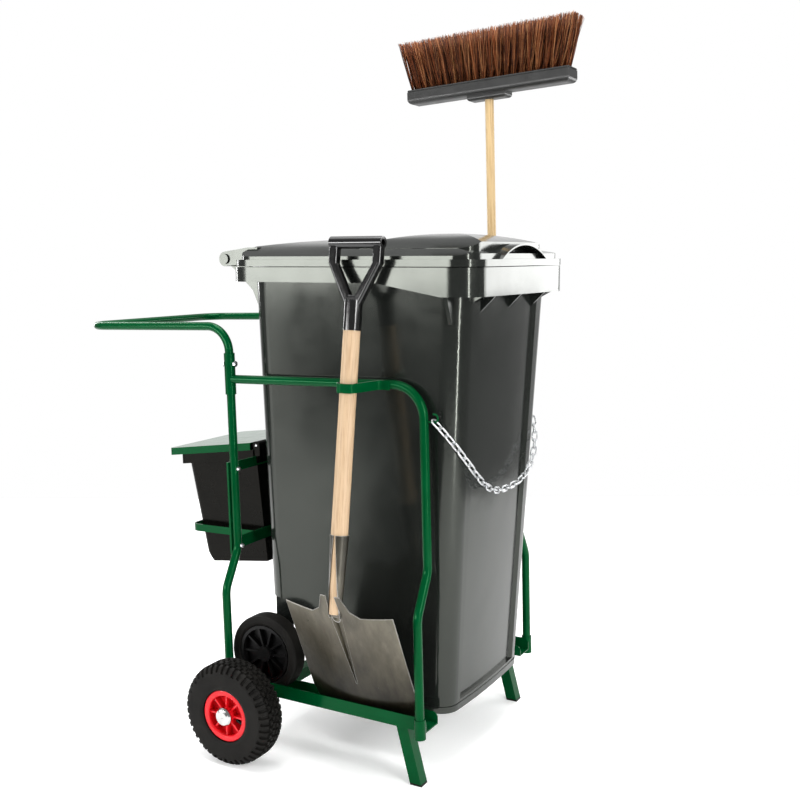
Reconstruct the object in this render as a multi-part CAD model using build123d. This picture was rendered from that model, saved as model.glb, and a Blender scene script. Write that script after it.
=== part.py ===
import os
from math import atan, cos, hypot, radians, sin, tan

from build123d import *

# Millimetres. +X is forward, +Y is left, +Z is up, the floor is z = 0.
# The cart's axle stands at x = 0 in this file and moves to axle_x when a piece is written.
axle_x = -6.60
axle_z = 130.0
cut_margin = 20.0

# Cart wheels
tyre_radius = 130.0
tyre_width = 85.0
tyre_wall = 9.0
tyre_bead_wall = 13.0
tyre_shoulder = 26.0
tyre_bead = 18.0
wheel_y = 403.0
rim_flange_radius = 66.0
rim_seat_radius = 58.0
rim_width = 74.0
rim_lip_inner = 50.5
rim_lip_depth = 10.0
rim_lip_round = 4.5
rim_skin = 4.0
rim_rib_count = 8
rim_rib_thickness = 4.0
rim_rib_half = 10.0
rim_rib_setback = 7.0
rim_web_setback = 24.0
hub_radius = 20.0
hub_length = 76.0
bush_radius = 14.0
axle_diameter = 20.0
axle_end_y = 447.0
running_gap = 0.05
hub_cap_radius = 23.0
hub_cap_face_y = 452.0
hub_face_gap = 0.5
hub_cap_wall = 4.0
hub_cap_dome = 3.0
hub_cap_crown = 9.0
valve_diameter = 8.0
valve_length = 26.0
valve_setback = 16.0

# Base
rail_inner_y = 250.0
rail_outer_y = 310.0
rail_sheet = 3.0
rail_floor_z = 145.0
rail_outer_top = 178.0
rail_inner_top = 174.0
rail_rear_x = -105.0
rail_front_x = 497.0
rail_nose_radius = 14.0
beam_size = 30.0
beam_wall = 3.0
beam_plug = 12.0
spacer_diameter = 26.0
spacer_gap = 0.4
cross_bar_x0 = 405.0
cross_bar_x1 = 455.0
cross_bar_top = 151.0
leg_y0 = 270.0
leg_size_y = 30.0
leg_size_x = 31.0
leg_foot_x = 448.0
leg_top_x = 409.0
leg_wall = 2.5
leg_sole = 5.0
leg_plug = 22.0

# Upright frame
front_post_x = 487.0
rear_post_x = -74.0
tube_diameter = 22.0
tube_wall = 2.0
lower_post_y = 321.0
upper_post_y = 265.0
kink_low_z = 424.0
kink_high_z = 522.0
kink_radius = 60.0
frame_rake = 1.5
rake_pivot_z = 135.0
collar_diameter = 28.0
collar_bottom_z = 133.0
collar_height = 48.0
collar_gap = 0.2
post_foot_rise = 3.0
hoop_z = 964.0
hoop_radius = 80.0
hoop_end_inset = 2.0
sleeve_diameter = 28.0
sleeve_bottom_z = 925.0
sleeve_top_z = 1031.0
sleeve_gap = 0.2
post_end_z = 975.0
handle_foot_gap = 2.0
handle_z = 1099.0
handle_reach = 488.0
handle_bend_radius = 66.0
handle_corner_radius = 60.0
sleeve_bolt_z = 1003.0
bolt_diameter = 8.0
bolt_hole_gap = 0.2
bolt_head_across = 13.0
bolt_head_height = 5.0
nut_height = 6.0
bolt_tail = 2.0
nut_seat_gap = 0.4

# Litter holder
holder_sheet = 5.0
holder_upright_width = 24.0
holder_bottom_z = 505.0
holder_top_z = 748.0
upper_bar_z0 = 720.0
upper_bar_z1 = 745.0
lower_bar_z0 = 515.0
lower_bar_z1 = 545.0
strap_z0 = 516.0
strap_z1 = 536.0
strap_half_width = 147.0
strap_rear_x = -332.0
strap_sheet = 4.0
strap_corner_radius = 22.0
holder_bolt_z = (529.0, 731.0)
holder_bolt_diameter = 6.0
holder_head_across = 10.0
holder_head_height = 4.0

# Litter box
box_front_x = -92.0
box_rear_top_x = -336.0
box_rear_low_x = -309.0
box_rear_low_z = 462.0
box_floor_rear_x = -281.0
box_floor_rear_z = 425.0
box_floor_front_z = 445.0
box_top_half = 149.0
box_low_half = 114.0
box_wall = 4.0
box_chine_rise = 0.5
box_chine_run = 0.6
box_corner = 18.0
lip_corner = 14.0
lid_corner = 12.0
lid_slope = 6.2
lid_front_z = 762.0
lid_front_x = -100.0
lid_rear_x = -383.0
lid_half = 163.5
lid_skirt = 20.0
lid_sheet = 2.0
lid_rest_gap = 0.3
lip_half = 161.0
lip_rear_x = -346.0
lip_height = 26.0
lug_y0 = 118.0
lug_y1 = 157.0
lug_radius = 11.0
litter_pin_x = -84.0
litter_pin_z = 774.0
litter_pin_diameter = 6.0
knuckle_radius = 6.0
knuckle_gap = 2.0
hook_gap = 0.5
hook_sheet = 5.0
hook_drop = 18.0

# Bin body
bin_base_z = 151.3
bin_top_z = 1234.0
bin_wall = 5.0
base_rear_x = -20.0
base_front_x = 505.0
base_half = 215.0
base_bulge = 10.0
base_corner = 48.0
top_rear_x = -40.0
top_front_x = 562.0
top_half = 258.0
top_bulge = 14.0
top_corner = 58.0
rim_rear_x = top_rear_x - 46.5
rim_front_x = top_front_x + 41.5
rim_half = top_half + 31.0
rim_corner = 68.0
rim_sheet = 4.0
rim_side_z = bin_top_z - 36.0
rim_front_z = bin_top_z - 66.0
rim_ramp_x0 = rim_front_x - 253.5
rim_ramp_x1 = rim_front_x - 83.5
base_lip_height = 16.0
base_lip_reach = 2.0
recess_depth = 9.0
recess_half_low = 148.0
recess_half_high = 160.0
recess_flank = 12.0
recess_foot = 24.0
gusset_sheet = 5.0
gusset_drop = 52.0
gusset_rise = 6.0
gusset_root = 20.0
front_gusset_y = (-150.0, 0.0, 150.0)
fin_sheet = 3.0
fin_drop = 26.0
fin_y = (182.0, 196.0, 210.0)
corner_rib_x = rim_front_x - 72.5
corner_rib_sheet = 9.0
corner_rib_foot_z = bin_top_z - 129.0
corner_rib_root = 14.0
arch_radius = 128.0
arch_reach = 200.0
axle_rib_y = (120.0, 205.0)
axle_rib_sheet = 10.0
axle_rib_half = 24.0

# Bin handle and lid hinge
grip_x = rim_rear_x - 61.5
grip_z = bin_top_z + 20.0
grip_diameter = 30.0
bracket_y0 = 170.0
bracket_sheet = 16.0
bracket_foot_z = bin_top_z - 116.0
bracket_root = 3.0
bracket_toe = (18.0, 12.0)
bracket_knee = (38.0, 56.0)
bracket_neck = (16.0, 30.0)
bracket_chin = (13.0, 8.0)
bracket_brow = (4.0, 14.0)
hinge_pin_diameter = 14.0
hinge_pin_head = 26.0
hinge_eye_radius = 19.0
hinge_eye_width = 22.0
hinge_side_gap = 1.0
hinge_pin_inset = 2.0
hinge_head_height = 4.0

# Bin lid
lid_seat_z = bin_top_z + 2.0
bin_lid_half = rim_half - 3.0
bin_lid_rear_x = rim_rear_x + 2.5
bin_lid_front_x = rim_front_x + 1.5
bin_lid_corner = 66.0
bin_lid_skirt = 16.0
bin_lid_wall = 4.0
dome_inset = 14.0
crown_margin = 20.0
dome_rear_z = lid_seat_z + 47.0
dome_mid_z = lid_seat_z + 68.0
dome_front_z = lid_seat_z + 25.0
dome_side_z = lid_seat_z + 17.0
panel_rear_x = bin_lid_front_x - 375.0
panel_front_x = bin_lid_front_x - 39.0
panel_half = bin_lid_half - 72.0
panel_corner = 40.0
panel_rear_z = lid_seat_z + 40.0
panel_mid_z = lid_seat_z + 79.0
panel_front_z = lid_seat_z + 50.0
panel_side_z = lid_seat_z + 34.0
lid_grip_half = 143.0
lid_grip_top_z = lid_seat_z + 53.0
lid_grip_foot_z = lid_seat_z + 12.0
lid_grip_rear_x = bin_lid_front_x - 47.0
ear_tail = 2.0
ear_top_x0 = 10.0
ear_top_x1 = 40.0
ear_seat = 4.0
ear_foot = (8.0, 2.0)

# Bin wheels
bin_wheel_x = 20.0
bin_wheel_z = 248.3
bin_tyre_radius = 100.0
bin_tyre_inner = 74.0
bin_wheel_y0 = 256.0
bin_wheel_y1 = 304.0
bin_rim_inner = 66.0
bin_hub_radius = 20.0
bin_web = 6.0
bin_tyre_round = 9.0
bin_rim_setback = 3.0
bin_spoke_setback = 8.0
bin_spoke_count = 10
bin_spoke_sheet = 5.0
bin_axle_end_y = 300.0
bin_axle_end_gap = 0.5

# Chain and hooks
link_wire = 4.5
link_inner_length = 24.5
link_inner_width = 9.0
link_slack = 0.5
half_link_count = 15
hook_wire = 5.0
hook_post_z = 880.0
hook_reach = 16.0
hook_arch = 9.0
hook_seat = 4.4
hook_tip = 3.0
hook_flat = 0.5
hook_bite = 1.5
chain_front_x = 566.0
chain_sag_power = 2.8
chain_corner_power = 6.0
chain_steps = 600
sag_least = 20.0
sag_most = 400.0
sag_exact = 0.001

# Shovel
shovel_x = 316.0
shovel_y = -334.0
shovel_z = 1090.0
shovel_lean = 7.55
shaft_diameter = 40.0
shaft_neck_diameter = 33.0
shaft_neck_length = 60.0
shaft_length = 656.0
shaft_tip_diameter = 26.0
fit_gap = 0.15
socket_wall = 2.5
socket_top = 472.0
socket_bottom = 705.0
slit_top = 5.0
slit_bottom = 36.0
blade_top_y = -420.0
blade_top_z = 440.0
blade_tip_y = -284.0
blade_tip_z = 148.25
blade_half = 147.0
blade_sheet = 2.0
blade_dish = 16.0
valley_start = 12.0
valley_length = 225.0
valley_half = 19.0
valley_depth = 14.0
valley_point = 0.15
valley_flat = 0.4
valley_clear = 6.0
ridge_root = 0.25
socket_foot = 10.0
grip_bar_z = 203.0
grip_bar_diameter = 29.0
grip_outer_half = 70.0
grip_inner_half = 48.0
grip_sheet = 24.0
grip_socket_diameter = 43.0
grip_socket_length = 70.0
grip_root_z = 40.0
grip_fork_z = 60.0
grip_crotch_z = 82.0
grip_crotch_half = 8.0
grip_shoulder_z = 155.0
grip_edge = 6.0
grip_bar_bore = 15.0
blade_flare = 52.0
blade_flare_half = 26.0
blade_step_half = 42.0
blade_step_z = 10.0
blade_notch_half = 66.0
blade_notch_z = -6.0
blade_swell = 3.0
blade_swell_z = 40.0
blade_toe_inset = 8.0

# Shovel strap and broom strap
band_height = 22.0
band_sheet = 3.0
band_gap = 1.5
shovel_band_root_x = 354.0
broom_band_root = 22.0
band_root_length = 28.0
band_lip = 12.0
band_lead = 0.9
band_bends = (0.5, 0.6, 0.8)

# Broom
broom_x = 417.0
stick_diameter = 24.0
stick_foot_y = 285.0
stick_foot_z = 149.0
broom_lean_out = 2.2
broom_lean_back = 2.65
broom_turn = 3.5
block_base = 1554.0
stick_grip = 27.0
block_half = 250.0
block_height = 40.0
block_width = 56.0
block_round = 14.0
hump_half = 60.0
hump_drop = 14.0
hump_inset = 8.0
hump_round = 9.0
bristle_rows = 5
bristle_columns = 76
bristle_row_pitch = 9.0
bristle_length = 136.0
bristle_root = 2.4
bristle_flare_x = 35.0
bristle_flare_y = 17.0
bristle_half = 236.0
bristle_slice = 6.0
bristle_taper = 0.6
bristle_step = 1.3
bristle_steps = 6
bristle_column_step = 7
bristle_row_step = 3
stick_end_gap = 0.2


def box(x0, x1, y0, y1, z0, z1):
    centre = Pos((x0 + x1) / 2, (y0 + y1) / 2, (z0 + z1) / 2)
    return centre * Box(x1 - x0, y1 - y0, z1 - z0)


def rod(start, end, diameter):
    axis = Vector(*end) - Vector(*start)
    seat = (Align.CENTER, Align.CENTER, Align.MIN)
    return Plane(start, z_dir=axis) * Cylinder(diameter / 2, axis.length, align=seat)


def plate_y(points, y0, y1):
    """A plate whose outline is given in x and z, between two y planes."""
    outline = make_face(Polyline([(x, y0, z) for x, z in points], close=True))
    return extrude(outline, amount=y1 - y0, dir=(0, 1, 0))


def plate_x(points, x0, x1):
    """A plate whose outline is given in y and z, between two x planes."""
    outline = make_face(Polyline([(x0, y, z) for y, z in points], close=True))
    return extrude(outline, amount=x1 - x0, dir=(1, 0, 0))


def turned(points):
    """A solid turned about the Y axis, from radius and y pairs."""
    outline = make_face(Polyline([(radius, y, 0) for radius, y in points], close=True))
    return revolve(outline, Axis.Y)


def bent_tube(points, radii, diameter, wall):
    path = FilletPolyline(*points, radius=radii)
    ring = Circle(diameter / 2) - Circle(diameter / 2 - wall)
    return sweep(Plane(path @ 0, z_dir=path % 0) * ring, path=path)


def bent_rod(points, radii, diameter):
    path = FilletPolyline(*points, radius=radii)
    return sweep(Plane(path @ 0, z_dir=path % 0) * Circle(diameter / 2), path=path)


def flipped(shape):
    return mirror(shape, about=Plane.XZ)


def raked(shape):
    """Leans a piece of the upright frame back about the front collars."""
    pivot = Pos(front_post_x, 0, rake_pivot_z)
    return pivot * Rot(0, -frame_rake, 0) * pivot.inverse() * shape


def raked_point(x, z):
    turn = radians(frame_rake)
    dx = x - front_post_x
    dz = z - rake_pivot_z
    return front_post_x + dx * cos(turn) - dz * sin(turn), rake_pivot_z + dx * sin(turn) + dz * cos(turn)


def unraked_z(x, z):
    """Height before the rake of a point that ends at height z, for a piece at x."""
    return z + tan(radians(frame_rake)) * (front_post_x - x)


def hexagon(across, thickness):
    return extrude(RegularPolygon(across / 2, 6, major_radius=False), amount=thickness)


def bolt_x(x0, x1, y, z, diameter, across, head):
    """A bolt along X with its head behind x0 and its nut in front of x1."""
    shank = rod((x0, y, z), (x1 + nut_height + bolt_tail, y, z), diameter)
    cap = Plane((x0, y, z), z_dir=(-1, 0, 0)) * hexagon(across, head)
    nut = Plane((x1, y, z), z_dir=(1, 0, 0)) * hexagon(across, nut_height)
    nut -= rod((x1 - 1, y, z), (x1 + nut_height + 1, y, z), diameter)
    return [shank + cap, nut]


os.makedirs("parts", exist_ok=True)


def write(name, *shapes):
    solids = []
    for shape in shapes:
        solids.extend(shape.solids())
    whole = solids[0] if len(solids) == 1 else Compound(solids)
    export_step(Pos(axle_x, 0, 0) * whole, "parts/" + name + ".step")


# Collars and rails
def collar_pair(side):
    made = []
    for x in (front_post_x, rear_post_x):
        low = unraked_z(x, collar_bottom_z)
        y = side * lower_post_y
        made.append(rod((x, y, low), (x, y, low + collar_height), collar_diameter))
    return made


def collar_bore(x, side):
    low = unraked_z(x, collar_bottom_z)
    bore = tube_diameter + 2 * collar_gap
    return rod((x, side * lower_post_y, low - 1), (x, side * lower_post_y, low + collar_height + 1), bore)


def rail(side):
    outer = rail_outer_y * side
    inner = rail_inner_y * side
    profile = [
        (outer, rail_floor_z),
        (outer, rail_outer_top),
        (outer - side * rail_sheet, rail_outer_top),
        (outer - side * rail_sheet, rail_floor_z + rail_sheet),
        (inner + side * rail_sheet, rail_floor_z + rail_sheet),
        (inner + side * rail_sheet, rail_inner_top),
        (inner, rail_inner_top),
        (inner, rail_floor_z),
    ]
    channel = plate_x(profile, rail_rear_x, rail_front_x)
    corners = channel.edges().filter_by(Axis.Y).group_by(Axis.X)[-1]
    tops = [e for e in corners if e.center().Z > rail_floor_z + rail_nose_radius]
    channel = fillet(tops, rail_nose_radius)
    for collar in collar_pair(side):
        channel -= raked(collar)
    return channel


collars = []
for side in (-1, 1):
    for x, collar in zip((front_post_x, rear_post_x), collar_pair(side)):
        collars.append(raked(collar - collar_bore(x, side)))
write("post_collars", *collars)
write("right_rail", rail(-1))
write("left_rail", rail(1))


# Legs with plugged ends
def leg_prism(side, inset, z0, z1):
    slope = (leg_top_x - leg_foot_x) / rail_floor_z
    sections = []
    for z in (z0, z1):
        centre_x = leg_foot_x + leg_size_x / 2 + slope * z
        outline = Rectangle(leg_size_x - 2 * inset, leg_size_y - 2 * inset)
        sections.append(Pos(centre_x, side * (leg_y0 + leg_size_y / 2), z) * outline)
    return loft(sections, ruled=True)


caps = []
for side, word in ((-1, "right"), (1, "left")):
    leg = leg_prism(side, 0, leg_sole, rail_floor_z) - leg_prism(side, leg_wall, leg_sole, rail_floor_z)
    write(word + "_leg", leg)
    plug = leg_prism(side, leg_wall + fit_gap, leg_sole - 1, leg_sole + leg_plug)
    caps.append(leg_prism(side, 0, 0, leg_sole) + plug)
write("leg_caps", *caps)

# Axle beam, cross bar, axle and spacers
half_beam = beam_size / 2
beam = box(-half_beam, half_beam, -rail_outer_y, rail_outer_y, axle_z - half_beam, axle_z + half_beam)
inside = half_beam - beam_wall
hollow_y = rail_outer_y - beam_plug
beam -= box(-inside, inside, -hollow_y, hollow_y, axle_z - inside, axle_z + inside)
bore = axle_diameter + 2 * running_gap
beam -= rod((0, -rail_outer_y - 1, axle_z), (0, rail_outer_y + 1, axle_z), bore)
write("axle_beam", beam)
write("axle", rod((0, -axle_end_y, axle_z), (0, axle_end_y, axle_z), axle_diameter))
spacers = []
for side in (-1, 1):
    start = side * rail_outer_y
    end = side * (wheel_y - hub_length / 2 - spacer_gap)
    ring = rod((0, start, axle_z), (0, end, axle_z), spacer_diameter)
    spacers.append(ring - rod((0, start - side, axle_z), (0, end + side, axle_z), bore))
write("axle_spacers", *spacers)
cross_bar = box(cross_bar_x0, cross_bar_x1, -rail_inner_y, rail_inner_y, rail_floor_z, cross_bar_top)
write("front_cross_bar", cross_bar)


# Tubes of the upright frame
post_foot_z = collar_bottom_z + post_foot_rise


def post_points(x, side):
    low = unraked_z(x, post_foot_z)
    return [
        (x, side * lower_post_y, low),
        (x, side * lower_post_y, kink_low_z),
        (x, side * upper_post_y, kink_high_z),
    ]


def sleeve_solid(side, diameter):
    low = (rear_post_x, side * upper_post_y, sleeve_bottom_z)
    high = (rear_post_x, side * upper_post_y, sleeve_top_z)
    return rod(low, high, diameter)


def sleeve_bolt_hole(side):
    y = side * upper_post_y
    reach = sleeve_diameter
    start = (rear_post_x - reach, y, sleeve_bolt_z)
    return rod(start, (rear_post_x + reach, y, sleeve_bolt_z), bolt_diameter + 2 * bolt_hole_gap)


def holder_bolt_holes(side):
    y = side * upper_post_y
    made = []
    for z in holder_bolt_z:
        start = (rear_post_x - tube_diameter, y, z)
        made.append(rod(start, (rear_post_x + tube_diameter, y, z), holder_bolt_diameter + 2 * bolt_hole_gap))
    return made


for side, word in ((-1, "right"), (1, "left")):
    y = side * upper_post_y
    points = post_points(front_post_x, side)
    points += [(front_post_x, y, hoop_z), (rear_post_x + hoop_end_inset, y, hoop_z)]
    hoop = bent_tube(points, [kink_radius, kink_radius, hoop_radius], tube_diameter, tube_wall)
    write(word + "_side_tube", raked(hoop - sleeve_solid(side, sleeve_diameter)))
    points = post_points(rear_post_x, side) + [(rear_post_x, y, post_end_z)]
    post = bent_tube(points, [kink_radius, kink_radius], tube_diameter, tube_wall)
    for hole in holder_bolt_holes(side):
        post -= hole
    write(word + "_rear_post", raked(post))
    sleeve = sleeve_solid(side, sleeve_diameter) - sleeve_solid(side, tube_diameter + 2 * sleeve_gap)
    write(word + "_sleeve", raked(sleeve - sleeve_bolt_hole(side)))

crossbar_x = rear_post_x - handle_reach
handle_foot_z = post_end_z + handle_foot_gap
points = [
    (rear_post_x, -upper_post_y, handle_foot_z),
    (rear_post_x, -upper_post_y, handle_z),
    (crossbar_x, -upper_post_y, handle_z),
    (crossbar_x, upper_post_y, handle_z),
    (rear_post_x, upper_post_y, handle_z),
    (rear_post_x, upper_post_y, handle_foot_z),
]
radii = [handle_bend_radius, handle_corner_radius, handle_corner_radius, handle_bend_radius]
handle = bent_tube(points, radii, tube_diameter, tube_wall)
for side in (-1, 1):
    handle -= sleeve_bolt_hole(side)
write("push_handle", raked(handle))

bolts = []
for side in (-1, 1):
    half = sleeve_diameter / 2
    head_x = rear_post_x - half - nut_seat_gap
    nut_x = rear_post_x + half + nut_seat_gap
    y = side * upper_post_y
    bolts += bolt_x(head_x, nut_x, y, sleeve_bolt_z, bolt_diameter, bolt_head_across, bolt_head_height)
write("sleeve_bolts", *[raked(piece) for piece in bolts])

# Litter holder
holder_x1 = rear_post_x - tube_diameter / 2
holder_x0 = holder_x1 - holder_sheet
uprights = []
for side in (-1, 1):
    y0 = side * upper_post_y - holder_upright_width / 2
    flat = box(holder_x0, holder_x1, y0, y0 + holder_upright_width, holder_bottom_z, holder_top_z)
    for hole in holder_bolt_holes(side):
        flat -= hole
    uprights.append(raked(flat))
write("holder_uprights", *uprights)
bar_y = upper_post_y - holder_upright_width / 2
write("holder_upper_bar", raked(box(holder_x0, holder_x1, -bar_y, bar_y, upper_bar_z0, upper_bar_z1)))
write("holder_lower_bar", raked(box(holder_x0, holder_x1, -bar_y, bar_y, lower_bar_z0, lower_bar_z1)))
half = strap_half_width - strap_sheet / 2
rear = strap_rear_x + strap_sheet / 2
points = [
    (holder_x0, -half, strap_z0),
    (rear, -half, strap_z0),
    (rear, half, strap_z0),
    (holder_x0, half, strap_z0),
]
path = FilletPolyline(*points, radius=[strap_corner_radius, strap_corner_radius])
band = Plane(path @ 0, x_dir=(0, 1, 0), z_dir=path % 0) * Rectangle(strap_sheet, strap_z1 - strap_z0)
strap = Pos(0, 0, (strap_z1 - strap_z0) / 2) * sweep(band, path=path)
write("holder_strap", raked(strap))
bolts = []
for side in (-1, 1):
    y = side * upper_post_y
    for z in holder_bolt_z:
        nut_x = rear_post_x + tube_diameter / 2 + nut_seat_gap
        bolts += bolt_x(holder_x0, nut_x, y, z, holder_bolt_diameter, holder_head_across, holder_head_height)
write("holder_bolts", *[raked(piece) for piece in bolts])


# Cart wheels, drawn on the left side and mirrored for the right
def ring(r0, r1, y0, y1):
    return turned([(r0, y0), (r1, y0), (r1, y1), (r0, y1)])


def tyre_section(r0, r1, width, bead, shoulder):
    outline = Pos((r0 + r1) / 2, wheel_y) * Rectangle(r1 - r0, width)
    outline = fillet(outline.vertices().group_by(Axis.X)[-1], shoulder)
    return fillet(outline.vertices().group_by(Axis.X)[0], bead)


def cart_wheel():
    section = tyre_section(rim_seat_radius, tyre_radius, tyre_width, tyre_bead, tyre_shoulder)
    section -= tyre_section(rim_seat_radius + tyre_bead_wall, tyre_radius - tyre_wall,
                            tyre_width - 2 * tyre_wall, tyre_bead - tyre_wall, tyre_shoulder - tyre_wall)
    tyre = revolve(section, Axis.Y)
    y0 = wheel_y - rim_width / 2
    y1 = wheel_y + rim_width / 2
    barrel = rim_seat_radius - rim_skin
    rim = ring(barrel, rim_seat_radius, y0, y1)
    rim += ring(barrel, rim_flange_radius, y0, y0 + rim_skin)
    lip_mid = Pos((rim_lip_inner + rim_flange_radius) / 2, y1 - rim_lip_depth / 2)
    lip_section = RectangleRounded(rim_flange_radius - rim_lip_inner, rim_lip_depth, rim_lip_round)
    lip = revolve(lip_mid * lip_section, Axis.Y)
    rim += lip
    web_y = y1 - rim_web_setback
    rim += ring(hub_radius - 1, barrel + 1, web_y - rim_skin, web_y)
    hub_y0 = wheel_y - hub_length / 2
    hub_y1 = wheel_y + hub_length / 2
    for i in range(rim_rib_count):
        rib = box(hub_radius - 1, barrel + 1, wheel_y - rim_rib_half, y1 - rim_rib_setback,
                  -rim_rib_thickness / 2, rim_rib_thickness / 2)
        rim += Rot(0, i * 360.0 / rim_rib_count, 0) * rib
    rim += ring(bush_radius, hub_radius, hub_y0, hub_y1)
    tyre -= ring(barrel, rim_flange_radius, y0, y0 + rim_skin)
    tyre -= lip
    bush = ring(axle_diameter / 2 + running_gap, bush_radius, hub_y0, hub_y1)
    turn = radians(-180.0 / rim_rib_count)
    valve_y = y1 - valve_setback
    outer = barrel - fit_gap
    inner = barrel - valve_length
    valve_foot = (outer * cos(turn), valve_y, outer * sin(turn))
    valve = rod((inner * cos(turn), valve_y, inner * sin(turn)), valve_foot, valve_diameter)
    return {"tyre": tyre, "rim": rim, "bush": bush, "valve": valve}


for piece, shape in cart_wheel().items():
    placed = Pos(0, 0, axle_z) * shape
    write("left_wheel_" + piece, placed)
    write("right_wheel_" + piece, flipped(placed))
hub_face = wheel_y + hub_length / 2 + hub_face_gap
cap = turned([
    (axle_diameter / 2, hub_face),
    (hub_cap_radius, hub_face),
    (hub_cap_radius, hub_face + hub_cap_wall),
    (hub_cap_radius - hub_cap_dome, hub_cap_face_y - hub_cap_dome),
    (hub_cap_radius - hub_cap_crown, hub_cap_face_y - hub_face_gap),
    (0, hub_cap_face_y),
    (0, axle_end_y),
    (axle_diameter / 2, axle_end_y),
])
cap = Pos(0, 0, axle_z) * cap
write("axle_caps", cap, flipped(cap))


# Litter box and its lid
def lid_low(x):
    return lid_front_z + (x - box_front_x) * tan(radians(lid_slope))


def litter_body(inset, top_extra):
    rear_top_z = lid_low(box_rear_top_x) - lid_rest_gap
    front_top_z = lid_low(box_front_x) - lid_rest_gap
    side = plate_y([
        (box_front_x - inset, box_floor_front_z + inset),
        (box_front_x - inset, front_top_z + top_extra),
        (box_rear_top_x + inset, rear_top_z + top_extra),
        (box_rear_low_x + inset, box_rear_low_z + inset * box_chine_rise),
        (box_floor_rear_x + inset * box_chine_run, box_floor_rear_z + inset),
    ], -lid_half, lid_half)
    spread = (box_top_half - box_low_half) / (lid_front_z - box_floor_rear_z)
    high = front_top_z + top_extra + cut_margin
    low = box_floor_rear_z - cut_margin
    top_half = box_top_half + spread * (high - lid_front_z) - inset
    low_half = box_low_half - spread * cut_margin - inset
    front = plate_x([(-low_half, low), (-top_half, high), (top_half, high), (low_half, low)], lid_rear_x, 0)
    tub = side & front
    rear_edges = [e for e in tub.edges() if abs((e % 0.5).Z) > 0.7 and e.center().X < box_rear_low_x]
    return fillet(rear_edges, box_corner - inset)


cavity = litter_body(box_wall, cut_margin)
lip = plate_y([
    (box_front_x, lid_low(box_front_x) - lid_rest_gap - lip_height),
    (box_front_x, lid_low(box_front_x) - lid_rest_gap),
    (lip_rear_x, lid_low(lip_rear_x) - lid_rest_gap),
    (lip_rear_x, lid_low(lip_rear_x) - lid_rest_gap - lip_height),
], -lip_half, lip_half)
lip = fillet(lip.edges().filter_by(Axis.Z).group_by(Axis.X)[0], lip_corner)
litter = litter_body(0.0, 0.0) + lip - cavity
for side in (-1, 1):
    y0, y1 = sorted((side * lug_y0, side * lug_y1))
    lug = box(box_front_x - 1, litter_pin_x + lug_radius, y0, y1, upper_bar_z1 + hook_gap, litter_pin_z)
    lug += rod((litter_pin_x, y0, litter_pin_z), (litter_pin_x, y1, litter_pin_z), 2 * lug_radius)
    drop_x = holder_x1 + hook_gap
    lug += box(drop_x, drop_x + hook_sheet, y0, y1, upper_bar_z1 - hook_drop, upper_bar_z1 + 1)
    litter += lug
pin_bore = litter_pin_diameter + 2 * running_gap
litter -= rod((litter_pin_x, -lug_y1 - 1, litter_pin_z), (litter_pin_x, lug_y1 + 1, litter_pin_z), pin_bore)
write("litter_box", raked(litter))


def lid_block(inset, front_x, low):
    """The lid's outside, or the hollow inside it, between its slope's foot and its top."""
    rear_x = lid_rear_x + inset
    top = lid_skirt - inset
    half = lid_half - inset
    block = plate_y([
        (front_x, lid_low(front_x) + low),
        (front_x, lid_low(front_x) + top),
        (rear_x, lid_low(rear_x) + top),
        (rear_x, lid_low(rear_x) + low),
    ], -half, half)
    return fillet(block.edges().filter_by(Axis.Z).group_by(Axis.X)[0], lid_corner - inset)


under = lid_skirt - lid_sheet
lid = lid_block(0.0, lid_front_x, 0.0) - lid_block(lid_sheet, lid_front_x + 1, -1.0)
knuckle_y = lug_y0 - knuckle_gap
lid += plate_y([
    (lid_front_x - lid_sheet, lid_low(lid_front_x - lid_sheet) + under),
    (lid_front_x - lid_sheet, lid_low(lid_front_x - lid_sheet) + lid_skirt),
    (litter_pin_x, litter_pin_z + knuckle_radius),
    (litter_pin_x, litter_pin_z + knuckle_radius - lid_sheet),
], -knuckle_y, knuckle_y)
lid += rod((litter_pin_x, -knuckle_y, litter_pin_z), (litter_pin_x, knuckle_y, litter_pin_z),
           2 * knuckle_radius)
lid -= rod((litter_pin_x, -lug_y1, litter_pin_z), (litter_pin_x, lug_y1, litter_pin_z), pin_bore)
write("litter_lid", raked(lid))
pin = rod((litter_pin_x, -lug_y1, litter_pin_z), (litter_pin_x, lug_y1, litter_pin_z), litter_pin_diameter)
write("litter_hinge_pin", raked(pin))


# Bin body
def bin_section(rear, front, half, bulge, corner, z):
    outline = Curve() + [
        Line((rear, -half), (front, -half)),
        ThreePointArc((front, -half), (front + bulge, 0), (front, half)),
        Line((front, half), (rear, half)),
        Line((rear, half), (rear, -half)),
    ]
    face = make_face(outline)
    return Pos(0, 0, z) * fillet(face.vertices(), corner)


def bin_loft(inset, low, high):
    t0 = (low - bin_base_z) / (bin_top_z - bin_base_z)
    t1 = (high - bin_base_z) / (bin_top_z - bin_base_z)
    sections = []
    for t, z in ((t0, low), (t1, high)):
        rear = base_rear_x + t * (top_rear_x - base_rear_x) + inset
        front = base_front_x + t * (top_front_x - base_front_x) - inset
        half = base_half + t * (top_half - base_half) - inset
        bulge = base_bulge + t * (top_bulge - base_bulge)
        corner = base_corner + t * (top_corner - base_corner) - inset
        sections.append(bin_section(rear, front, half, bulge, corner, z))
    return loft(sections, ruled=True)


def wheel_arch(grow):
    radius = arch_radius + grow
    low = bin_wheel_z - arch_reach
    arch = rod((bin_wheel_x, -rim_half, bin_wheel_z), (bin_wheel_x, rim_half, bin_wheel_z), 2 * radius)
    arch += box(bin_wheel_x - arch_reach, bin_wheel_x, -rim_half, rim_half, low, bin_wheel_z + radius)
    arch += box(bin_wheel_x - 1, bin_wheel_x + radius, -rim_half, rim_half, low, bin_wheel_z)
    return arch


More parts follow.
